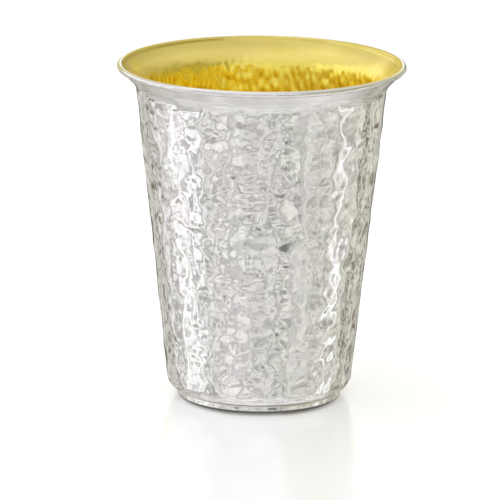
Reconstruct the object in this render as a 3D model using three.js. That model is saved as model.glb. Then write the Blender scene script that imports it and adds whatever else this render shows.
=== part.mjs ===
// A kiddush cup: a beaker of sterling silver, raised from one sheet, hammered all over its
// outside and gilded inside, on a plain foot wire that is soldered under its floor.
//
// Millimetres, +Z up. The origin is on the table, at the centre of the foot wire.

import * as THREE from 'three';

// ---- Driving dimensions -------------------------------------------------------------------

const HEIGHT = 85;            // table to the top of the rim
const RIM_RADIUS = 36.25;     // axis to the outermost point of the rim
const WALL = 0.9;             // sheet thickness where no hammer has struck

const CONE_RADIUS = 22.8;     // the conical side's outer radius, carried down to the table
const CONE_TAPER = 0.111;     // radius gained for each millimetre of height
const CORNER_RADIUS = 3.8;    // outer bend between the floor and the side

const FLARE_RADIUS = 5;       // hollow bend, outside, between the side and the lip
const LIP_LEAN = Math.PI / 4; // the lip's lean away from upright
const BEAD_RADIUS = 0.75;     // round edge of the lip, a little thicker than the sheet

const FOOT_RADIUS = 20.5;     // outer radius of the foot wire
const FOOT_HEIGHT = 1.5;      // table to the cup's underside
const FOOT_WIDTH = 2;         // how far the wire reaches inwards
const FOOT_ROUNDING = 0.3;    // rounding of the wire's outer edges

const MARK_COLUMNS = 28;      // upright columns of hammer marks round the cup
const MARK_PITCH = 5.1;       // height from one mark to the next in its column
const MARK_DRIFT_ACROSS = 0.26; // how far marks stray sideways from their column, in columns
const MARK_DRIFT_UP = 0.3;    // how far marks stray up and down, in pitches
const MARK_HALF_WIDTH = [0.54, 0.66];  // of the narrowest and the widest mark, in columns
const MARK_HALF_HEIGHT = [0.58, 0.74]; // of the lowest and the tallest mark, in pitches
const MARK_DEPTH = [0.24, 0.4];        // of the shallowest and the deepest mark
const SMOOTH_BELOW = [2.5, 6];         // the marks fade in between these heights
const SMOOTH_ABOVE = [79, 82.5];       // and fade out between these, under the lip

const SWELL_DEPTH = 0.1;      // slow unevenness of the sheet, over many marks
const SWELL_PITCH = 17;       // height of one of its waves
const SWELL_WAVES = [         // waves round the cup, waves up each pitch, and where they start
  { around: 13, up: 0.3, start: 0 },
  { around: 9, up: 0.55, start: 1.7 },
  { around: 17, up: -0.8, start: 0.4 },
];

// ---- How finely the round shapes are cut ----------------------------------------------------

const CUTS_PER_MARK = 3;      // facets across one hammer mark
const SIDE_CUTS = 28;         // facets up the side, two for each hammer mark
const CORNER_CUTS = 4;
const FLARE_CUTS = 5;
const BEAD_CUTS = 5;
const AROUND = MARK_COLUMNS * CUTS_PER_MARK;

// ---- Places that follow from the dimensions -------------------------------------------------

const CONE_LEAN = Math.atan(CONE_TAPER);
const FLARE_START = flareStart();
const CORNER_CENTRE = cornerCentre();
const FLARE_CENTRE = pointOffCone(FLARE_START, FLARE_RADIUS);
const BEAD_CENTRE = new THREE.Vector2(RIM_RADIUS - BEAD_RADIUS, HEIGHT - BEAD_RADIUS);

// The point at this distance outside the conical side, square to it, from its height z.
function pointOffCone(z, distance) {
  return new THREE.Vector2(
    CONE_RADIUS + CONE_TAPER * z + distance * Math.cos(CONE_LEAN),
    z - distance * Math.sin(CONE_LEAN),
  );
}

// The height where the side ends and the flare begins. It is the one height from which the
// hollow bend turns into a straight lip whose middle line meets the centre of the bead.
function flareStart() {
  const beadR = RIM_RADIUS - BEAD_RADIUS;
  const beadZ = HEIGHT - BEAD_RADIUS;
  const acrossLip = Math.cos(LIP_LEAN);
  const alongLip = Math.sin(LIP_LEAN);
  const reach = FLARE_RADIUS + WALL / 2
    - (CONE_RADIUS + FLARE_RADIUS * Math.cos(CONE_LEAN) - beadR) * acrossLip
    - (FLARE_RADIUS * Math.sin(CONE_LEAN) + beadZ) * alongLip;
  return reach / (CONE_TAPER * acrossLip - alongLip);
}

// The centre of the bend that touches both the flat underside and the conical side.
function cornerCentre() {
  const z = FOOT_HEIGHT + CORNER_RADIUS;
  const touchZ = z - CORNER_RADIUS * Math.sin(CONE_LEAN);
  return new THREE.Vector2(pointOffCone(touchZ, -CORNER_RADIUS).x, z);
}

// ---- The hammer marks -----------------------------------------------------------------------

// A number from 0 to 1 that looks random but is always the same for the same mark and salt.
function scatter(column, row, salt) {
  const turn = ((column % MARK_COLUMNS) + MARK_COLUMNS) % MARK_COLUMNS;
  const value = Math.sin(turn * 12.9898 + row * 78.233 + salt * 37.719) * 43758.5453;
  return value - Math.floor(value);
}

// One mark: a shallow oval bowl. Its centre and half sizes are counted in columns and pitches.
function hammerMark(column, row) {
  return {
    column: column + 0.5 + MARK_DRIFT_ACROSS * (scatter(column, row, 1) - 0.5),
    row: row + 0.5 + MARK_DRIFT_UP * (scatter(column, row, 2) - 0.5),
    halfWidth: THREE.MathUtils.lerp(...MARK_HALF_WIDTH, scatter(column, row, 3)),
    halfHeight: THREE.MathUtils.lerp(...MARK_HALF_HEIGHT, scatter(column, row, 4)),
    depth: THREE.MathUtils.lerp(...MARK_DEPTH, scatter(column, row, 5)),
  };
}

// How deep the marks lie at this place: the deepest of the bowls that reach it. Each column
// is shifted up by its own share of a pitch.
function markDepth(angle, z) {
  const column = (angle / (2 * Math.PI)) * MARK_COLUMNS;
  let depth = 0;
  for (let c = Math.floor(column) - 1; c <= Math.floor(column) + 1; c += 1) {
    const row = z / MARK_PITCH - scatter(c, 0, 6);
    for (let r = Math.floor(row) - 1; r <= Math.floor(row) + 1; r += 1) {
      const mark = hammerMark(c, r);
      const across = (column - mark.column) / mark.halfWidth;
      const up = (row - mark.row) / mark.halfHeight;
      depth = Math.max(depth, mark.depth * (1 - across * across - up * up));
    }
  }
  return depth;
}

// The sheet's slow waves, from zero to SWELL_DEPTH deep.
function swell(angle, z) {
  const climb = (z / SWELL_PITCH) * 2 * Math.PI;
  let sum = 0;
  for (const wave of SWELL_WAVES) {
    sum += Math.sin(wave.around * angle + wave.up * climb + wave.start);
  }
  return (SWELL_DEPTH * (1 + sum / SWELL_WAVES.length)) / 2;
}

// The hammering fades out over the bend at the floor and under the lip, which stay smooth.
function hammeredShare(z) {
  const aboveCorner = THREE.MathUtils.smoothstep(z, ...SMOOTH_BELOW);
  const belowLip = 1 - THREE.MathUtils.smoothstep(z, ...SMOOTH_ABOVE);
  return aboveCorner * belowLip;
}

// How far the hammered outside lies inside its smooth outline.
function hammered(angle, z) {
  return (markDepth(angle, z) + swell(angle, z)) * hammeredShare(z);
}

// ---- Outlines: points (radius, height) in the plane of the axis ------------------------------

function arc(centre, radius, fromAngle, toAngle, cuts) {
  const points = [];
  for (let i = 0; i <= cuts; i += 1) {
    const angle = THREE.MathUtils.lerp(fromAngle, toAngle, i / cuts);
    points.push(new THREE.Vector2(
      centre.x + radius * Math.cos(angle),
      centre.y + radius * Math.sin(angle),
    ));
  }
  return points;
}

// The outside, from the centre of the underside up to the start of the bead.
function outsideOutline() {
  const points = [new THREE.Vector2(0, FOOT_HEIGHT)];
  points.push(...arc(CORNER_CENTRE, CORNER_RADIUS, -Math.PI / 2, -CONE_LEAN, CORNER_CUTS));
  const coneFoot = points.at(-1);
  const flare = arc(FLARE_CENTRE, FLARE_RADIUS, Math.PI - CONE_LEAN, Math.PI - LIP_LEAN, FLARE_CUTS);
  for (let i = 1; i < SIDE_CUTS; i += 1) {
    points.push(coneFoot.clone().lerp(flare[0], i / SIDE_CUTS));
  }
  points.push(...flare);
  return points;
}

// The bead, from where the lip's outer face meets it, round its edge, to the lip's inner face.
function beadOutline() {
  const towardsCup = Math.PI * 1.5 - LIP_LEAN;
  const halfNeck = Math.asin(WALL / 2 / BEAD_RADIUS);
  return arc(BEAD_CENTRE, BEAD_RADIUS,
    towardsCup + halfNeck - 2 * Math.PI, towardsCup - halfNeck, BEAD_CUTS);
}

// The inside, from the lip down to the centre of the floor, one sheet thickness in.
function insideOutline() {
  const flare = arc(FLARE_CENTRE, FLARE_RADIUS + WALL,
    Math.PI - LIP_LEAN, Math.PI - CONE_LEAN, FLARE_CUTS - 1);
  const corner = arc(CORNER_CENTRE, CORNER_RADIUS - WALL, -CONE_LEAN, -Math.PI / 2, CORNER_CUTS - 1);
  return [...flare, ...corner, new THREE.Vector2(0, FOOT_HEIGHT + WALL)];
}

// ---- Pieces -----------------------------------------------------------------------------------

// A closed skin turned from an outline that starts and ends on the axis. radiusAt may move a
// point in or out. The rows below giltRow form material group 0 and the others group 1.
function turnedSkin(outline, radiusAt, giltRow) {
  const positions = [];
  const faces = [];
  const last = outline.length - 1;
  const vertex = (row, step) => {
    if (row === 0) return 0;
    if (row === last) return 1 + (last - 1) * AROUND;
    return 1 + (row - 1) * AROUND + (step % AROUND);
  };
  positions.push(0, 0, outline[0].y);
  for (let row = 1; row < last; row += 1) {
    for (let step = 0; step < AROUND; step += 1) {
      const angle = (step / AROUND) * 2 * Math.PI;
      const radius = radiusAt(outline[row], row, angle);
      positions.push(radius * Math.cos(angle), radius * Math.sin(angle), outline[row].y);
    }
  }
  positions.push(0, 0, outline[last].y);
  let giltIndex = 0;
  for (let row = 0; row < last; row += 1) {
    if (row === giltRow) giltIndex = faces.length;
    for (let step = 0; step < AROUND; step += 1) {
      const a = vertex(row, step);
      const b = vertex(row, step + 1);
      const c = vertex(row + 1, step + 1);
      const d = vertex(row + 1, step);
      if (row > 0) faces.push(a, b, c);
      if (row < last - 1) faces.push(a, c, d);
    }
  }
  const geometry = new THREE.BufferGeometry();
  geometry.setAttribute('position', new THREE.Float32BufferAttribute(positions, 3));
  geometry.setIndex(faces);
  geometry.addGroup(0, giltIndex, 0);
  geometry.addGroup(giltIndex, faces.length - giltIndex, 1);
  geometry.computeVertexNormals();
  return geometry;
}

// The cup itself, one sheet of silver from rim to floor. Its gilding is plated on, so it is a
// second material on the inner faces and not a piece of its own.
function makeCup() {
  const silver = new THREE.MeshStandardMaterial({ color: 0xcfcdca, roughness: 0.15, metalness: 1 });
  const gilding = new THREE.MeshStandardMaterial({ color: 0xe0b93f, roughness: 0.28, metalness: 1 });
  const outside = outsideOutline();
  const bead = beadOutline();
  const outline = [...outside, ...bead, ...insideOutline()];
  const radiusAt = (point, row, angle) => {
    if (row >= outside.length) return point.x;
    return point.x - hammered(angle, point.y);
  };
  const cup = new THREE.Mesh(
    turnedSkin(outline, radiusAt, outside.length + bead.length - 1),
    [silver, gilding],
  );
  cup.name = 'cup';
  return cup;
}

// The foot wire: a plain flat ring with softened outer edges, so that it carries the cup clear
// of the table.
function makeFootRing() {
  const silver = new THREE.MeshStandardMaterial({ color: 0xd6d4d0, roughness: 0.12, metalness: 1 });
  const inner = FOOT_RADIUS - FOOT_WIDTH;
  const edge = FOOT_RADIUS - FOOT_ROUNDING;
  const lowEdge = new THREE.Vector2(edge, FOOT_ROUNDING);
  const highEdge = new THREE.Vector2(edge, FOOT_HEIGHT - FOOT_ROUNDING);
  const outline = [
    new THREE.Vector2(inner, 0),
    ...arc(lowEdge, FOOT_ROUNDING, -Math.PI / 2, 0, 1),
    ...arc(highEdge, FOOT_ROUNDING, 0, Math.PI / 2, 1),
    new THREE.Vector2(inner, FOOT_HEIGHT),
    new THREE.Vector2(inner, 0),
  ];
  const geometry = new THREE.LatheGeometry(outline, AROUND);
  geometry.rotateX(Math.PI / 2);
  const ring = new THREE.Mesh(geometry, silver);
  ring.name = 'foot_ring';
  return ring;
}

const kiddushCup = new THREE.Group();
kiddushCup.add(makeCup(), makeFootRing());

export default kiddushCup;
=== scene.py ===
"""A hammered silver kiddush cup, gilded inside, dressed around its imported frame.

The cup and its foot wire are rebuilt as fine meshes on the same outline as their solids. The
outside carries the hammer marks, and the gilded inside bulges behind each of them. Much of the
look is the light tent that the polished metal mirrors. Lengths are metres, heights are counted
from the table, and the front of the cup faces -Y.
"""

import math

import bpy
import numpy as np
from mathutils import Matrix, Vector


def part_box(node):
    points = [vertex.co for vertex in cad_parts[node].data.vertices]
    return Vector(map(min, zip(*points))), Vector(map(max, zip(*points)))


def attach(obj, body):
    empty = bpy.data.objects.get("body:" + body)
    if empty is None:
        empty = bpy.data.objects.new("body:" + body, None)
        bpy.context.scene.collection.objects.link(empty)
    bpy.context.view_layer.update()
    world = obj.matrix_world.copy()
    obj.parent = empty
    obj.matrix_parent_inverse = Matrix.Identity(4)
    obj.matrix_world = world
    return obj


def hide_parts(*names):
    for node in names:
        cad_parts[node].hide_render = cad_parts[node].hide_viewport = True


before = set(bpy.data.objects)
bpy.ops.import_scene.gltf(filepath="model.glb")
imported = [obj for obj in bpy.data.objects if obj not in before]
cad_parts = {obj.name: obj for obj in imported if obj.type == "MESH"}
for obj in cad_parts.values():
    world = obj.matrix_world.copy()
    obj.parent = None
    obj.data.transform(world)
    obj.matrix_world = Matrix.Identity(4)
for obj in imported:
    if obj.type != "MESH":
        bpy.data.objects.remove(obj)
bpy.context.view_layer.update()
MM = 0.001

# ---- Sizes read from the frame -------------------------------------------------------------------

CUP_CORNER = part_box("cup")[1]       # the upper corner of each box
FOOT_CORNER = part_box("foot_ring")[1]
HEIGHT = CUP_CORNER.z
RIM_RADIUS = CUP_CORNER.x
FOOT_HEIGHT = FOOT_CORNER.z
FOOT_RADIUS = FOOT_CORNER.x

# ---- Sizes of the outline, as in the solids ------------------------------------------------------

WALL = 0.9 * MM               # sheet thickness
CONE_RADIUS = 22.8 * MM       # the side's outer radius, carried down to the table
CONE_TAPER = 0.111            # radius gained for each unit of height
CONE_LEAN = math.atan(CONE_TAPER)
CORNER_RADIUS = 3.8 * MM      # bend between floor and side
FLARE_RADIUS = 5 * MM         # hollow bend between side and lip
LIP_LEAN = math.radians(45)   # the lip's lean away from upright
BEAD_RADIUS = 0.75 * MM       # round edge of the lip
FOOT_WIDTH = 2 * MM           # how far the foot wire reaches inwards
FOOT_ROUNDING = 0.3 * MM      # rounding of the wire's edges

# ---- Sizes of the hammering ----------------------------------------------------------------------

MARK_COLUMNS = 28             # upright columns of hammer marks round the cup
MARK_PITCH = 5.1 * MM         # height from one mark to the next in its column
MARK_DRIFT = 0.7              # how far marks stray from their places, in columns and pitches
MARK_BEND = 1.0               # how far their columns and rows wander, in columns and pitches
MARK_HALF_SIZE = (0.6, 0.95)  # of the smallest and the largest mark, in columns and pitches
MARK_DEPTH = (0.15 * MM, 0.35 * MM)  # of the shallowest and the deepest mark
SMOOTH_BELOW = (1.5 * MM, 4.5 * MM)  # the hammering fades in between these heights
SMOOTH_ABOVE = (77 * MM, 83.5 * MM)  # and fades out between these, under the lip

CREASE_SOFTNESS = 0.045 * MM  # how softly neighbouring marks run into one another
CREASE_RISE = 0.15 * MM       # how far the blows push the sheet out between them

DENT_COLUMNS = 54             # upright columns of small dents round the cup
DENT_PITCH = 3.1 * MM         # height from one dent to the next in its column
DENT_HALF_SIZE = (0.3, 0.62)  # of the smallest and the largest dent, in columns and pitches
DENT_DEPTH = (0.01 * MM, 0.085 * MM)

SWELL_COLUMNS = 14            # slow lumps of the sheet, over many marks, in one turn
SWELL_PITCH = 15 * MM         # height of one of them
SWELL_DEPTH = 0.2 * MM
RIPPLE_COLUMNS = 42           # small lumps between the marks, in one turn
RIPPLE_PITCH = 2.6 * MM
RIPPLE_DEPTH = 0.04 * MM

# Each kind scatters by salts of its own. Marks and dents take this one and the seven after it.
MARK_SALT = 1
DENT_SALT = 11
SWELL_SALT = 21
RIPPLE_SALT = 22

# ---- Fineness of the meshes ----------------------------------------------------------------------

AROUND = 12 * MARK_COLUMNS    # mesh columns round the cup and the foot wire
COLUMN_ANGLES = np.linspace(0, 2 * math.pi, AROUND, endpoint=False)[None, :]

FLAT_CUTS = (4, 6)            # rows across the underside, and across the floor inside
BEND_CUTS = (14, 7)           # round the bottom bend, outside and inside
SIDE_CUTS = (160, 44)         # up the side, outside and inside
FLARE_CUTS = (12, 9)          # round the flare, outside and inside
LIP_CUTS = (7, 4)             # up the straight lip, outside and inside
RIM_CUTS = 16                 # round the rim's edge
GILT_RIM_CUT = 12             # the gilding begins at this one of them
WIRE_EDGE_CUTS = (5, 3)       # round the foot wire's outer and inner edges
WIRE_BAND_CUTS = 3            # up its outer face


# ---- Outlines: points (radius, height) in the plane of the axis ----------------------------------

def off_cone(z, distance):
    """The point at this distance outside the side, square to it, from its height z."""
    return np.array([
        CONE_RADIUS + CONE_TAPER * z + distance * math.cos(CONE_LEAN),
        z - distance * math.sin(CONE_LEAN),
    ])


def flare_start():
    """The height from which the flare turns into a straight lip that meets the bead's centre."""
    bead_r, bead_z = RIM_RADIUS - BEAD_RADIUS, HEIGHT - BEAD_RADIUS
    across, along = math.cos(LIP_LEAN), math.sin(LIP_LEAN)
    reach = (
        FLARE_RADIUS + WALL / 2
        - (CONE_RADIUS + FLARE_RADIUS * math.cos(CONE_LEAN) - bead_r) * across
        - (FLARE_RADIUS * math.sin(CONE_LEAN) + bead_z) * along
    )
    return reach / (CONE_TAPER * across - along)


def corner_centre():
    """The centre of the bend that touches both the flat underside and the side."""
    z = FOOT_HEIGHT + CORNER_RADIUS
    touch = z - CORNER_RADIUS * math.sin(CONE_LEAN)
    return np.array([off_cone(touch, -CORNER_RADIUS)[0], z])


def arc(centre, radius, start, stop, cuts):
    """Points from one angle to another, with the two ends."""
    turn = np.linspace(start, stop, cuts + 1)
    return np.stack([centre[0] + radius * np.cos(turn), centre[1] + radius * np.sin(turn)], 1)


def line(start, stop, cuts):
    """Points from start to stop, without the two ends."""
    share = np.linspace(0, 1, cuts + 1)[1:-1, None]
    return start + (stop - start) * share


def cup_outline():
    """The cup's outline from the middle of its underside, over the rim, to the middle of its
    floor inside, and the number of the row where the gilding begins."""
    under_middle = np.array([0, FOOT_HEIGHT])
    floor_middle = np.array([0, FOOT_HEIGHT + WALL])
    flare_centre = off_cone(flare_start(), FLARE_RADIUS)
    bead_centre = np.array([RIM_RADIUS - BEAD_RADIUS, HEIGHT - BEAD_RADIUS])
    towards_cup = 1.5 * math.pi - LIP_LEAN
    half_neck = math.asin(WALL / 2 / BEAD_RADIUS)
    bead = arc(bead_centre, BEAD_RADIUS,
               towards_cup + half_neck - 2 * math.pi, towards_cup - half_neck, RIM_CUTS)

    corner = arc(corner_centre(), CORNER_RADIUS, -math.pi / 2, -CONE_LEAN, BEND_CUTS[0])
    flare = arc(flare_centre, FLARE_RADIUS, math.pi - CONE_LEAN, math.pi - LIP_LEAN, FLARE_CUTS[0])
    outside = [
        under_middle[None], line(under_middle, corner[0], FLAT_CUTS[0]), corner,
        line(corner[-1], flare[0], SIDE_CUTS[0]), flare, line(flare[-1], bead[0], LIP_CUTS[0]),
    ]

    corner = arc(corner_centre(), CORNER_RADIUS - WALL, -CONE_LEAN, -math.pi / 2, BEND_CUTS[1])
    flare = arc(flare_centre, FLARE_RADIUS + WALL,
                math.pi - LIP_LEAN, math.pi - CONE_LEAN, FLARE_CUTS[1])
    inside = [
        line(bead[-1], flare[0], LIP_CUTS[1]), flare, line(flare[-1], corner[0], SIDE_CUTS[1]),
        corner, line(corner[-1], floor_middle, FLAT_CUTS[1]), floor_middle[None],
    ]
    gilt_row = sum(len(part) for part in outside) + GILT_RIM_CUT
    return np.concatenate([*outside, bead, *inside]), gilt_row


def ring_outline():
    """The foot wire's closed outline: flat where it rests and where it meets the cup."""
    outer = FOOT_RADIUS - FOOT_ROUNDING
    inner = FOOT_RADIUS - FOOT_WIDTH + FOOT_ROUNDING
    low, high = FOOT_ROUNDING, FOOT_HEIGHT - FOOT_ROUNDING
    quarter = math.pi / 2
    outer_low = arc((outer, low), FOOT_ROUNDING, -quarter, 0, WIRE_EDGE_CUTS[0])
    outer_high = arc((outer, high), FOOT_ROUNDING, 0, quarter, WIRE_EDGE_CUTS[0])
    inner_high = arc((inner, high), FOOT_ROUNDING, quarter, 2 * quarter, WIRE_EDGE_CUTS[1])
    inner_low = arc((inner, low), FOOT_ROUNDING, 2 * quarter, 3 * quarter, WIRE_EDGE_CUTS[1])
    band = line(outer_low[-1], outer_high[0], WIRE_BAND_CUTS)
    return np.concatenate([outer_low, band, outer_high, inner_high, inner_low])


# ---- Hammer marks --------------------------------------------------------------------------------

def scatter(column, row, salt):
    """Numbers from 0 to 1 that look random but are always the same for the same place."""
    value = np.sin(column * 12.9898 + row * 78.233 + salt * 37.719) * 43758.5453
    return value - np.floor(value)


def between(ends, share):
    """The value at this share of the way from one end to the other."""
    return ends[0] + (ends[1] - ends[0]) * share


def smoothstep(value, low, high):
    t = np.clip((value - low) / (high - low), 0, 1)
    return t * t * (3 - 2 * t)


def hammered_share(z):
    """The marks fade out over the bend at the floor and under the lip, which stay smooth."""
    return smoothstep(z, *SMOOTH_BELOW) * (1 - smoothstep(z, *SMOOTH_ABOVE))


def lumps(angle, z, columns, pitch, salt):
    """Smooth unevenness from about 0 to 1, with this many lumps round the cup."""
    column = angle / (2 * math.pi) * columns
    row = z / pitch
    c, r = np.floor(column), np.floor(row)
    across, up = column - c, row - r

    def corner(step_c, step_r):
        """The slope that this corner of the cell gives its surroundings."""
        turn = 2 * math.pi * scatter((c + step_c) % columns, r + step_r, salt)
        return np.cos(turn) * (across - step_c) + np.sin(turn) * (up - step_r)

    low = between((corner(0, 0), corner(1, 0)), smoothstep(across, 0, 1))
    high = between((corner(0, 1), corner(1, 1)), smoothstep(across, 0, 1))
    # the mix of the four reaches about 0.7 either way
    return 0.5 + 0.7 * between((low, high), smoothstep(up, 0, 1))


def blows(angle, z, columns, pitch, half_size, depth, salt):
    """The nine hammer blows nearest to each place: how far it lies from the middle of each,
    squared, with one at the blow's edge, and how deep that blow went."""
    bend = MARK_BEND * (lumps(angle, z, SWELL_COLUMNS, SWELL_PITCH, salt) - 0.5)
    lift = MARK_BEND * (lumps(angle, z, SWELL_COLUMNS, SWELL_PITCH, salt + 1) - 0.5)
    column = angle / (2 * math.pi) * columns + bend
    level = z / pitch + lift
    for step_c in (-1, 0, 1):
        c = np.floor(column) + step_c
        turn = c % columns
        height = level - scatter(turn, 0, salt + 2)
        for step_r in (-1, 0, 1):
            r = np.floor(height) + step_r
            across = column - (c + 0.5 + MARK_DRIFT * (scatter(turn, r, salt + 3) - 0.5))
            up = height - (r + 0.5 + MARK_DRIFT * (scatter(turn, r, salt + 4) - 0.5))
            half_width = between(half_size, scatter(turn, r, salt + 5))
            half_height = between(half_size, scatter(turn, r, salt + 6))
            yield ((across / half_width) ** 2 + (up / half_height) ** 2,
                   between(depth, scatter(turn, r, salt + 7)))


def mark_depth(angle, z):
    """Broad marks that touch everywhere: shallow bowls that meet in soft creases."""
    total = 1
    for away, deep in blows(
            angle, z, MARK_COLUMNS, MARK_PITCH, MARK_HALF_SIZE, MARK_DEPTH, MARK_SALT):
        total = total + np.exp(deep * (1 - away) / CREASE_SOFTNESS)
    return CREASE_SOFTNESS * np.log(total)


def dent_depth(angle, z):
    """Small round dents with soft edges, scattered over the broad marks."""
    depth = 0
    for away, deep in blows(
            angle, z, DENT_COLUMNS, DENT_PITCH, DENT_HALF_SIZE, DENT_DEPTH, DENT_SALT):
        depth = np.maximum(depth, deep * np.clip(1 - away, 0, 1) ** 2)
    return depth


def hammered_depth(angle, z):
    """How far the hammered sheet lies inside its smooth outline."""
    depth = mark_depth(angle, z) + dent_depth(angle, z) - CREASE_RISE
    depth += SWELL_DEPTH * lumps(angle, z, SWELL_COLUMNS, SWELL_PITCH, SWELL_SALT)
    depth += RIPPLE_DEPTH * lumps(angle, z, RIPPLE_COLUMNS, RIPPLE_PITCH, RIPPLE_SALT)
    return depth * hammered_share(z)


# ---- Meshes --------------------------------------------------------------------------------------

def mesh_object(name, vertices, faces):
    mesh = bpy.data.meshes.new(name)
    mesh.from_pydata([tuple(v) for v in vertices], [], faces)
    mesh.validate()
    mesh.shade_smooth()
    made = bpy.data.objects.new(name, mesh)
    bpy.context.scene.collection.objects.link(made)
    return made


def turned_points(radius, height):
    """Grid of vertices: one row for each outline point, one column for each angle."""
    radius, height, angle = np.broadcast_arrays(radius, height, COLUMN_ANGLES)
    return np.stack([radius * np.cos(angle), radius * np.sin(angle), height], -1).reshape(-1, 3)


def band_faces(first, second):
    """Faces between two rows of vertices that start at these numbers."""
    return [
        (first + i, first + (i + 1) % AROUND, second + (i + 1) % AROUND, second + i)
        for i in range(AROUND)
    ]


def cup_vertices(outline):
    """The outline turned round the axis and hammered, all but its flat ends. The two middles of
    underside and floor come last."""
    radius, height = outline[1:-1, :1], outline[1:-1, 1:]
    row = np.arange(len(radius))[:, None]
    hammered = (row > FLAT_CUTS[0]) & (row < len(radius) - FLAT_CUTS[1])
    depth = hammered_depth(COLUMN_ANGLES, height)
    sheet = turned_points(radius - depth * hammered, height)
    return np.concatenate([sheet, [(0, 0, outline[0, 1]), (0, 0, outline[-1, 1])]])


def cup_faces(rows):
    """A fan on the underside, a band from each row to the next, and a fan on the floor."""
    under_middle = rows * AROUND
    floor_middle = under_middle + 1
    last = (rows - 1) * AROUND
    faces = [(under_middle, (i + 1) % AROUND, i) for i in range(AROUND)]
    for row in range(rows - 1):
        faces += band_faces(row * AROUND, (row + 1) * AROUND)
    faces += [(floor_middle, last + i, last + (i + 1) % AROUND) for i in range(AROUND)]
    return faces


def make_cup():
    outline, gilt_row = cup_outline()
    faces = cup_faces(len(outline) - 2)
    cup = mesh_object("hammered_cup", cup_vertices(outline), faces)
    cup.data.materials.append(silver_material())
    cup.data.materials.append(gilt_material())
    slots = np.zeros(len(faces), np.int32)
    slots[gilt_row * AROUND:] = 1
    cup.data.polygons.foreach_set("material_index", slots)
    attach(cup, "root")
    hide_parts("cup")


def make_foot_wire():
    outline = ring_outline()
    faces = []
    for row in range(len(outline)):
        faces += band_faces(row * AROUND, (row + 1) % len(outline) * AROUND)
    wire = mesh_object("foot_wire", turned_points(outline[:, :1], outline[:, 1:]), faces)
    wire.data.materials.append(foot_material())
    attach(wire, "root")
    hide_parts("foot_ring")


# ---- Shader nodes --------------------------------------------------------------------------------

class Nodes:
    """Short names for making and linking shader nodes in one tree."""

    def __init__(self, tree):
        self.tree = tree
        tree.nodes.clear()

    def add(self, kind, **settings):
        node = self.tree.nodes.new(kind)
        for name, value in settings.items():
            setattr(node, name, value)
        return node

    def feed(self, socket, value):
        if isinstance(value, bpy.types.NodeSocket):
            self.tree.links.new(value, socket)
        else:
            socket.default_value = value

    def math(self, operation, *values):
        node = self.add("ShaderNodeMath", operation=operation)
        for socket, value in zip(node.inputs, values):
            self.feed(socket, value)
        return node.outputs[0]

    def step(self, value, low, high, from_value=0.0, to_value=1.0):
        """A smooth step of value between low and high."""
        node = self.add("ShaderNodeMapRange", interpolation_type="SMOOTHSTEP")
        for socket, v in zip(node.inputs, (value, low, high, from_value, to_value)):
            self.feed(socket, v)
        return node.outputs[0]

    def split(self, vector):
        """The three parts of a vector."""
        node = self.add("ShaderNodeSeparateXYZ")
        self.feed(node.inputs[0], vector)
        return node.outputs

    def scaled(self, vector, scale):
        node = self.add("ShaderNodeMapping")
        self.feed(node.inputs["Vector"], vector)
        node.inputs["Scale"].default_value = scale
        return node.outputs[0]

    def noise(self, vector, scale, detail=2.0, roughness=0.5):
        """Cloudy noise with this many lumps to one unit of the vector."""
        node = self.add("ShaderNodeTexNoise")
        self.feed(node.inputs["Vector"], vector)
        node.inputs["Scale"].default_value = scale
        node.inputs["Detail"].default_value = detail
        node.inputs["Roughness"].default_value = roughness
        return node.outputs["Fac"]

    def haze(self, vector, scale, detail, ends):
        """A value that wavers between two ends like a polishing haze."""
        return self.step(self.noise(vector, scale, detail), 0.3, 0.7, *ends)

    def mix(self, factor, first, second, blend_type="MIX"):
        """The second colour laid over the first, as far as factor says."""
        node = self.add("ShaderNodeMix", data_type="RGBA", blend_type=blend_type)
        self.feed(node.inputs["Factor"], factor)
        self.feed(node.inputs["A"], first)
        self.feed(node.inputs["B"], second)
        return node.outputs["Result"]

    def ramp(self, value, stops):
        """A colour ramp through stops, each a place from 0 to 1 and a colour."""
        node = self.add("ShaderNodeValToRGB")
        elements = node.color_ramp.elements
        for place, _ in stops[2:]:
            elements.new(place)
        for element, (place, colour) in zip(elements, stops):
            element.position = place
            element.color = colour
        self.feed(node.inputs[0], value)
        return node.outputs["Color"]

    def bump(self, height, distance):
        node = self.add("ShaderNodeBump")
        node.inputs["Distance"].default_value = distance
        self.feed(node.inputs["Height"], height)
        return node.outputs["Normal"]

    def show(self, output_kind, shader):
        """Links the shader to the tree's output."""
        output = self.add(output_kind)
        self.feed(output.inputs["Surface"], shader.outputs[0])


# ---- Materials -----------------------------------------------------------------------------------

SILVER_ROSY = (0.835, 0.812, 0.815, 1)
SILVER_GREENISH = (0.805, 0.808, 0.795, 1)
FOOT_LIGHT = (0.86, 0.845, 0.83, 1)
FOOT_DARK = (0.80, 0.79, 0.765, 1)
# painted shade: near-black for the foot wire's lowest edge, where it meets the table
PAINTED_CONTACT_SHADE = (0.10, 0.09, 0.08, 1)
GILT_LIGHT = (0.96, 0.79, 0.24, 1)
GILT_DARK = (0.93, 0.76, 0.20, 1)
# painted light: the deeper yellow below the lip, for light bounced between the gilded walls
GILT_PAINTED_BOUNCE = (0.945, 0.785, 0.14, 1)

# Heights between which one look gives way to the next, going up
CONTACT_SHADE_ENDS = (0.1 * MM, 0.35 * MM)                 # the foot wire turns from its painted contact shade to bright
SATIN_BEGINS = (78 * MM, 80.5 * MM)                  # the silver turns satin under the lip
PLANISHING_ENDS = (79 * MM, 81.5 * MM)               # its fine planishing all but fades out
SATIN_ENDS = (82.8 * MM, 83.8 * MM)                  # it is polished again on the rim
FLUTES_END = (HEIGHT - 8 * MM, HEIGHT - 4 * MM)      # the gilding's flutes all but fade out
PAINTED_BOUNCE_ENDS = (HEIGHT - 8 * MM, HEIGHT - 3.5 * MM)     # its deep yellow, painted bounced light, turns to the pale lip's painted highlight
EDGE_SHADE_BEGINS = (HEIGHT - 3.5 * MM, HEIGHT - 1.5 * MM)  # it is darkened towards the edge, painted shade
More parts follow.
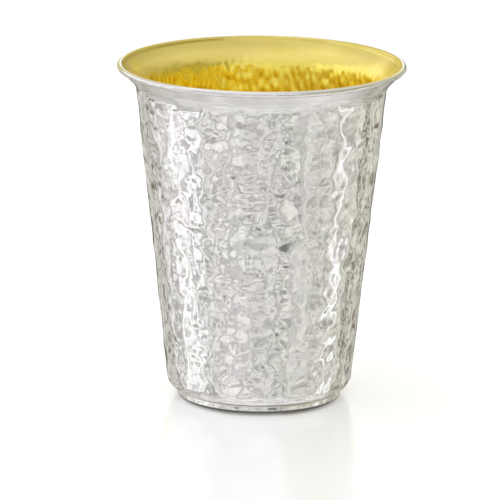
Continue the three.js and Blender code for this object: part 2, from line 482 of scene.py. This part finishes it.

# Roughness of the brightest and the dullest places
SILVER_ROUGHNESS = (0.06, 0.12)
SATIN_ROUGHNESS = 0.12              # added to the silver's in the satin band
FOOT_ROUGHNESS = (0.08, 0.16)
GILT_ROUGHNESS = (0.23, 0.31)

PLANISHING_DEPTH = 0.16 * MM
FLUTE_DEPTH = 0.4 * MM
FOOT_BUMP_DEPTH = 0.02 * MM


def metal(name, build):
    """A metallic material. build gets the nodes and object coordinates, and returns the colour,
    the roughness and the normal."""
    material = bpy.data.materials.new(name)
    material.use_nodes = True
    nodes = Nodes(material.node_tree)
    place = nodes.add("ShaderNodeTexCoord").outputs["Object"]
    colour, roughness, normal = build(nodes, place)
    shader = nodes.add("ShaderNodeBsdfPrincipled")
    shader.inputs["Metallic"].default_value = 1.0
    nodes.feed(shader.inputs["Base Color"], colour)
    nodes.feed(shader.inputs["Roughness"], roughness)
    nodes.feed(shader.inputs["Normal"], normal)
    nodes.show("ShaderNodeOutputMaterial", shader)
    return material


def silver_material():
    """Polished sterling silver with a faint bloom of tarnish, finely planished, and satin in the
    smooth band under the lip."""
    def build(nodes, place):
        height = nodes.split(place)[2]
        bloom = nodes.step(nodes.noise(place, 90, detail=3), 0.35, 0.65)
        tint = nodes.mix(bloom, SILVER_ROSY, SILVER_GREENISH)
        haze = nodes.haze(place, 260, 4, SILVER_ROUGHNESS)
        satin = nodes.math("MULTIPLY", nodes.step(height, *SATIN_BEGINS, 0.0, SATIN_ROUGHNESS),
                           nodes.step(height, *SATIN_ENDS, 1.0, 0.0))
        roughness = nodes.math("ADD", haze, satin)
        squat = nodes.scaled(place, (1, 1, 1.3))
        ripple = nodes.noise(squat, 255, detail=0)
        dimples = nodes.noise(squat, 600, detail=0)
        relief = nodes.math("ADD", ripple, nodes.math("MULTIPLY", dimples, 0.25))
        calm = nodes.step(height, *PLANISHING_ENDS, 1.0, 0.12)
        planishing = nodes.bump(nodes.math("MULTIPLY", relief, calm), PLANISHING_DEPTH)
        return tint, roughness, planishing
    return metal("hammered_silver", build)


def foot_material():
    """Plain polished silver, with painted shade along the edge where it stands on the table."""
    def build(nodes, place):
        tint = nodes.mix(nodes.noise(place, 120, detail=3), FOOT_LIGHT, FOOT_DARK)
        # painted shade: the wire's lowest edge is darkened for the dark line where it meets the
        # table
        contact_shade = nodes.step(nodes.split(place)[2], *CONTACT_SHADE_ENDS, 1.0, 0.0)
        tint = nodes.mix(contact_shade, tint, PAINTED_CONTACT_SHADE)
        roughness = nodes.haze(place, 400, 3, FOOT_ROUGHNESS)
        return tint, roughness, nodes.bump(nodes.noise(place, 700), FOOT_BUMP_DEPTH)
    return metal("polished_foot_silver", build)


def gilt_material():
    """Yellow gilding with a satin bloom: pale on the lip, a painted highlight, darkened at the
    edge, painted shade, and below it deeper, painted light bounced between the gilded walls, with
    flutes.
    """
    def build(nodes, place):
        height = nodes.split(place)[2]
        cloud = nodes.step(nodes.noise(place, 130, detail=3), 0.3, 0.7)
        pale = nodes.mix(cloud, GILT_LIGHT, GILT_DARK)
        # painted light: deeper yellow below for bounced light, pale on the lip for its highlights
        tint = nodes.mix(nodes.step(height, *PAINTED_BOUNCE_ENDS, 1.0, 0.0), pale, GILT_PAINTED_BOUNCE)
        # painted shade: the gilding darkens towards the edge
        painted_edge_shade = nodes.step(height, *EDGE_SHADE_BEGINS, 1.0, 0.84)
        tint = nodes.mix(1.0, tint, painted_edge_shade, "MULTIPLY")
        roughness = nodes.haze(place, 300, 4, GILT_ROUGHNESS)
        flutes = nodes.noise(nodes.scaled(place, (1, 1, 0.45)), 780, detail=0)
        fluted = nodes.step(height, *FLUTES_END, 1.0, 0.08)
        return tint, roughness, nodes.bump(nodes.math("MULTIPLY", flutes, fluted), FLUTE_DEPTH)
    return metal("gilding", build)


# ---- Floor ---------------------------------------------------------------------------------------

FLOOR_REACH = 6.0                  # from its middle to each side
FLOOR_GREY = (0.845, 0.85, 0.87, 1)
FLOOR_ROUGHNESS = 0.19
FLOOR_GLOW = 0.25                  # its own light, which keeps it white
SHADOW_FORWARD = 5 * MM            # its dark under the foot lies this far towards the camera
SHADOW_EDGE = (17 * MM, 21 * MM)   # and fades out between these distances from its middle
SHADOW_GREY = 0.12                 # of its brightness is left there


def make_floor():
    """A pale floor, darkened where the cup stands. The metal mirrors the tent's table instead."""
    corners = [
        (x * FLOOR_REACH, y * FLOOR_REACH, 0) for x, y in ((-1, -1), (1, -1), (1, 1), (-1, 1))
    ]
    floor = mesh_object("studio_floor", corners, [(0, 1, 2, 3)])
    material = bpy.data.materials.new("studio_white")
    material.use_nodes = True
    nodes = Nodes(material.node_tree)
    away = nodes.add("ShaderNodeVectorMath", operation="DISTANCE")
    nodes.feed(away.inputs[0], nodes.add("ShaderNodeTexCoord").outputs["Object"])
    away.inputs[1].default_value = (0, -SHADOW_FORWARD, 0)
    shade = nodes.step(away.outputs["Value"], *SHADOW_EDGE, SHADOW_GREY, 1.0)
    shader = nodes.add("ShaderNodeBsdfPrincipled")
    nodes.feed(shader.inputs["Base Color"], nodes.mix(1.0, shade, FLOOR_GREY, "MULTIPLY"))
    shader.inputs["Roughness"].default_value = FLOOR_ROUGHNESS
    nodes.feed(shader.inputs["Emission Color"], shade)
    shader.inputs["Emission Strength"].default_value = FLOOR_GLOW
    nodes.show("ShaderNodeOutputMaterial", shader)
    floor.data.materials.append(material)
    floor.visible_glossy = False


# ---- Light tent ----------------------------------------------------------------------------------

PAPER = (0.90, 0.89, 0.87, 1)      # of the table inside the tent
PAPER_ENDS = (-55.0, -38.0)        # degrees up between which it gives way to the cloth
ROOF = (0.78, 0.77, 0.76, 1)
ROOF_BEGINS = (30.0, 50.0)         # degrees up between which the cloth gives way to the roof
CLUTTER = (0.20, 0.17, 0.12, 1)

# Degrees round the tent, from the camera's side and negative to its left, with the grey of the
# cloth there and how yellow it is
CLOTH = (
    (-180, 0.66, 0.10), (-135, 0.71, 0.06), (-112, 0.72, 0.04), (-95, 0.64, 0.03),
    (-66, 0.66, 0.02), (-60, 0.83, 0.02), (-30, 0.83, 0.02), (-8, 0.785, 0.03),
    (3, 0.81, 0.03), (8, 0.80, 0.035), (43, 0.75, 0.06), (46, 0.77, 0.07),
    (62, 0.75, 0.08), (99, 0.74, 0.09), (106, 0.75, 0.11), (122, 0.72, 0.12),
    (140, 0.65, 0.13), (180, 0.64, 0.12),
)


def yellowed(grey, yellow):
    """A grey with its blue, and a little of its green, taken out."""
    return (grey, grey * (1 - 0.15 * yellow), grey * (1 - yellow), 1)


class TentNodes(Nodes):
    """Shader nodes of the world, which know the direction in which they are seen."""

    def __init__(self, tree):
        super().__init__(tree)
        self.direction = self.add("ShaderNodeTexCoord").outputs["Generated"]
        x, y, z = self.split(self.direction)
        # degrees round from the camera's side, negative to its left, and degrees up
        self.turn = self.math("DEGREES", self.math("ARCTAN2", x, self.math("MULTIPLY", y, -1.0)))
        self.climb = self.math("DEGREES", self.math("ARCSINE", z))
        self.clouds = self.noise(self.direction, 7)

    def window(self, value, low, high, soft):
        """One between low and high, falling to zero over soft on both sides."""
        return self.math("MULTIPLY", self.step(value, low - soft, low),
                         self.step(value, high, high + soft, 1.0, 0.0))

    def patch(self, turn_range, climb_range, soft):
        """One between these degrees round and up, with edges twice as soft up as round."""
        return self.math("MULTIPLY", self.window(self.turn, *turn_range, soft),
                         self.window(self.climb, *climb_range, 2 * soft))


def hang_cloth(tent):
    """Cloth all round above a paper table, faintly tinted in clouds, and creased."""
    around = tent.math("ADD", tent.math("DIVIDE", tent.turn, 360.0), 0.5)
    light = tent.ramp(around, [
        (0.5 + degrees / 360, yellowed(grey, yellow)) for degrees, grey, yellow in CLOTH
    ])
    light = tent.mix(tent.step(tent.climb, *PAPER_ENDS, 1.0, 0.0), light, PAPER)
    tinted = tent.mix(tent.step(tent.clouds, 0.4, 0.6),
                      (1.0, 0.975, 0.99, 1), (0.985, 0.995, 0.97, 1))
    light = tent.mix(1.0, light, tinted, "MULTIPLY")
    creases = tent.math("MULTIPLY_ADD", tent.noise(tent.direction, 12), 2.2, -0.08)
    return tent.mix(1.0, light, creases, "MULTIPLY")


def scatter_clutter(tent, light):
    """Dark clutter behind the cup, which its edges mirror, and fainter specks all round."""
    crumbs = tent.noise(tent.scaled(tent.direction, (1, 1, 0.6)), 13, detail=3, roughness=0.6)
    behind = tent.math("MAXIMUM", tent.patch((-181, -124), (-28, 4), 8),
                       tent.patch((116, 181), (-32, 4), 8))
    clutter = tent.math("MULTIPLY", tent.step(crumbs, 0.52, 0.6), behind)
    specks = tent.step(tent.noise(tent.direction, 11, detail=1), 0.64, 0.68, 0.0, 0.5)
    return tent.mix(tent.math("MAXIMUM", clutter, specks), light, CLUTTER)


def set_panels(tent, light):
    """Lamps and bright panels, and dark gaps and flags, each laid over what came before it."""
    torn = tent.step(tent.clouds, 0.40, 0.43)
    shreds = tent.step(tent.clouds, 0.47, 0.50)
    flecks = tent.step(tent.noise(tent.direction, 17), 0.59, 0.63)
    # degrees round and up, softness in degrees, grey, how yellow it is, and how solid
    for turn_range, climb_range, soft, grey, yellow, solid in (
        # the table's far edge, and dark things on the camera's side
        ((-70, 70), (-5, 1), 3, 0.45, 0, 1.0),
        ((14, 26), (-16, -8), 1.5, 0.22, 0, 1.0),
        ((0, 44), (-44, -14), 4, 0.33, 0.1, flecks),
        ((31, 33), (-22, 0), 1, 0.35, 0, 1.0),
        ((-34, -29), (-15, -10), 1.5, 0.3, 0, 1.0),
        # the wide lamp at the left, with torn edges and a dark and a bright line beside it
        ((-120, -103), (-28, -6), 1.5, 1.1, 0, shreds),
        ((-101, -69), (-28, -6), 1.5, 1.25, 0, torn),
        ((-68, -66), (-60, -4), 0.5, 0.45, 0, 1.0),
        ((-65, -62), (-60, -4), 0.7, 1.1, 0, 1.0),
        # a bright seam, and a pale panel between two dull ones at the right
        ((9, 10), (-60, 60), 0.7, 0.95, 0, 1.0),
        ((37, 41), (-32, -8), 2, 0.45, 0.1, 0.4),
        ((44, 55), (-40, 4), 1.5, 0.9, 0.05, 0.5),
        ((59, 62), (-32, -8), 1.5, 0.45, 0.1, 0.4),
        # the narrow lamp at the right, and its glow
        ((90, 93.5), (-40, 4), 1.0, 1.3, 0, 1.0),
        ((84, 91), (-13, 4), 2, 0.92, 0, 1.0),
        # lamps above, for the gilding and the rim
        ((-148, -60), (10, 24), 5, 1.2, 0, 1.0),
        ((-6, 30), (6, 14), 3, 1.1, 0, 1.0),
        ((-130, 15), (42, 64), 8, 0.92, 0, 1.0),
        ((-190, -105), (58, 82), 3, 1.35, 0, 1.0),
        ((160, 190), (62, 82), 3, 1.2, 0, 1.0),
        ((-35, 12), (8, 20), 4, 0.95, 0, 1.0),
        # dull and yellow cloth above, for the gilding
        ((42, 98), (8, 18), 12, 0.42, 0.5, 1.0),
        ((100, 150), (8, 20), 4, 0.52, 0.3, 0.8),
        ((-190, -150), (-4, 40), 3, 0.75, 0.6, 1.0),
        ((150, 190), (14, 40), 3, 0.75, 0.6, 1.0),
        # behind the cup: a lamp that whitens the floor, and flags that darken the cup's edges
        ((-190, -174), (11, 17), 1.5, 1.3, 0, 1.0),
        ((174, 190), (11, 17), 1.5, 1.3, 0, 1.0),
        ((-190, -167), (-18, -7), 2, 0.15, 0, 1.0),
        ((167, 190), (-18, -7), 2, 0.15, 0, 1.0),
    ):
        share = tent.math("MULTIPLY", tent.patch(turn_range, climb_range, soft), solid)
        light = tent.mix(share, light, yellowed(grey, yellow))
    return light


def make_tent():
    """The light tent that the metal mirrors."""
    world = bpy.data.worlds.new("light_tent")
    bpy.context.scene.world = world
    world.use_nodes = True
    tent = TentNodes(world.node_tree)
    light = scatter_clutter(tent, hang_cloth(tent))
    light = tent.mix(tent.step(tent.climb, *ROOF_BEGINS), light, ROOF)
    light = set_panels(tent, light)
    background = tent.add("ShaderNodeBackground")
    tent.feed(background.inputs["Color"], light)
    tent.show("ShaderNodeOutputWorld", background)


# ---- Lamp and camera -----------------------------------------------------------------------------

CUP_MIDDLE = Vector((0, 0, HEIGHT / 2))

LAMP_PLACE = (-0.15, -0.2, 1.2)
LAMP_SIZE = 1.4                     # length of its sides
LAMP_POWER = 2.0                    # in watts

CAMERA_DISTANCE = 1.4737
CAMERA_CLIMB = math.radians(13.12)  # how far it looks down
CAMERA_ROLL = math.radians(0.53)
CAMERA_LENS = 421.3                 # focal length in millimetres
CAMERA_SENSOR = 36                  # width in millimetres
CAMERA_SHIFT = (-0.0207, -0.0434)


def make_lamp():
    """A wide soft box overhead, which the metal doesn't mirror."""
    light = bpy.data.lights.new("roof_softbox", "AREA")
    light.size = LAMP_SIZE
    light.energy = LAMP_POWER
    lamp = bpy.data.objects.new("roof_softbox", light)
    lamp.location = LAMP_PLACE
    aim = CUP_MIDDLE - lamp.location
    lamp.rotation_euler = aim.to_track_quat("-Z", "Y").to_euler()
    lamp.visible_glossy = False
    bpy.context.scene.collection.objects.link(lamp)


def make_camera():
    """A long lens a step and a half away, looking a little down on the cup."""
    data = bpy.data.cameras.new("camera")
    data.sensor_width = CAMERA_SENSOR
    data.lens = CAMERA_LENS
    data.shift_x, data.shift_y = CAMERA_SHIFT
    camera = bpy.data.objects.new("camera", data)
    away = Vector((0, -math.cos(CAMERA_CLIMB), math.sin(CAMERA_CLIMB)))
    camera.location = CUP_MIDDLE + away * CAMERA_DISTANCE
    upright = (-away).to_track_quat("-Z", "Y").to_matrix().to_4x4()
    rolled = upright @ Matrix.Rotation(CAMERA_ROLL, 4, "Z")
    camera.rotation_euler = rolled.to_euler()
    bpy.context.scene.collection.objects.link(camera)
    bpy.context.scene.camera = camera


# ---- The whole scene -----------------------------------------------------------------------------

make_camera()
make_cup()
make_foot_wire()
make_floor()
make_tent()
make_lamp()
bpy.context.scene.view_settings.view_transform = "Standard"
bpy.context.scene.cycles.glossy_bounces = 8
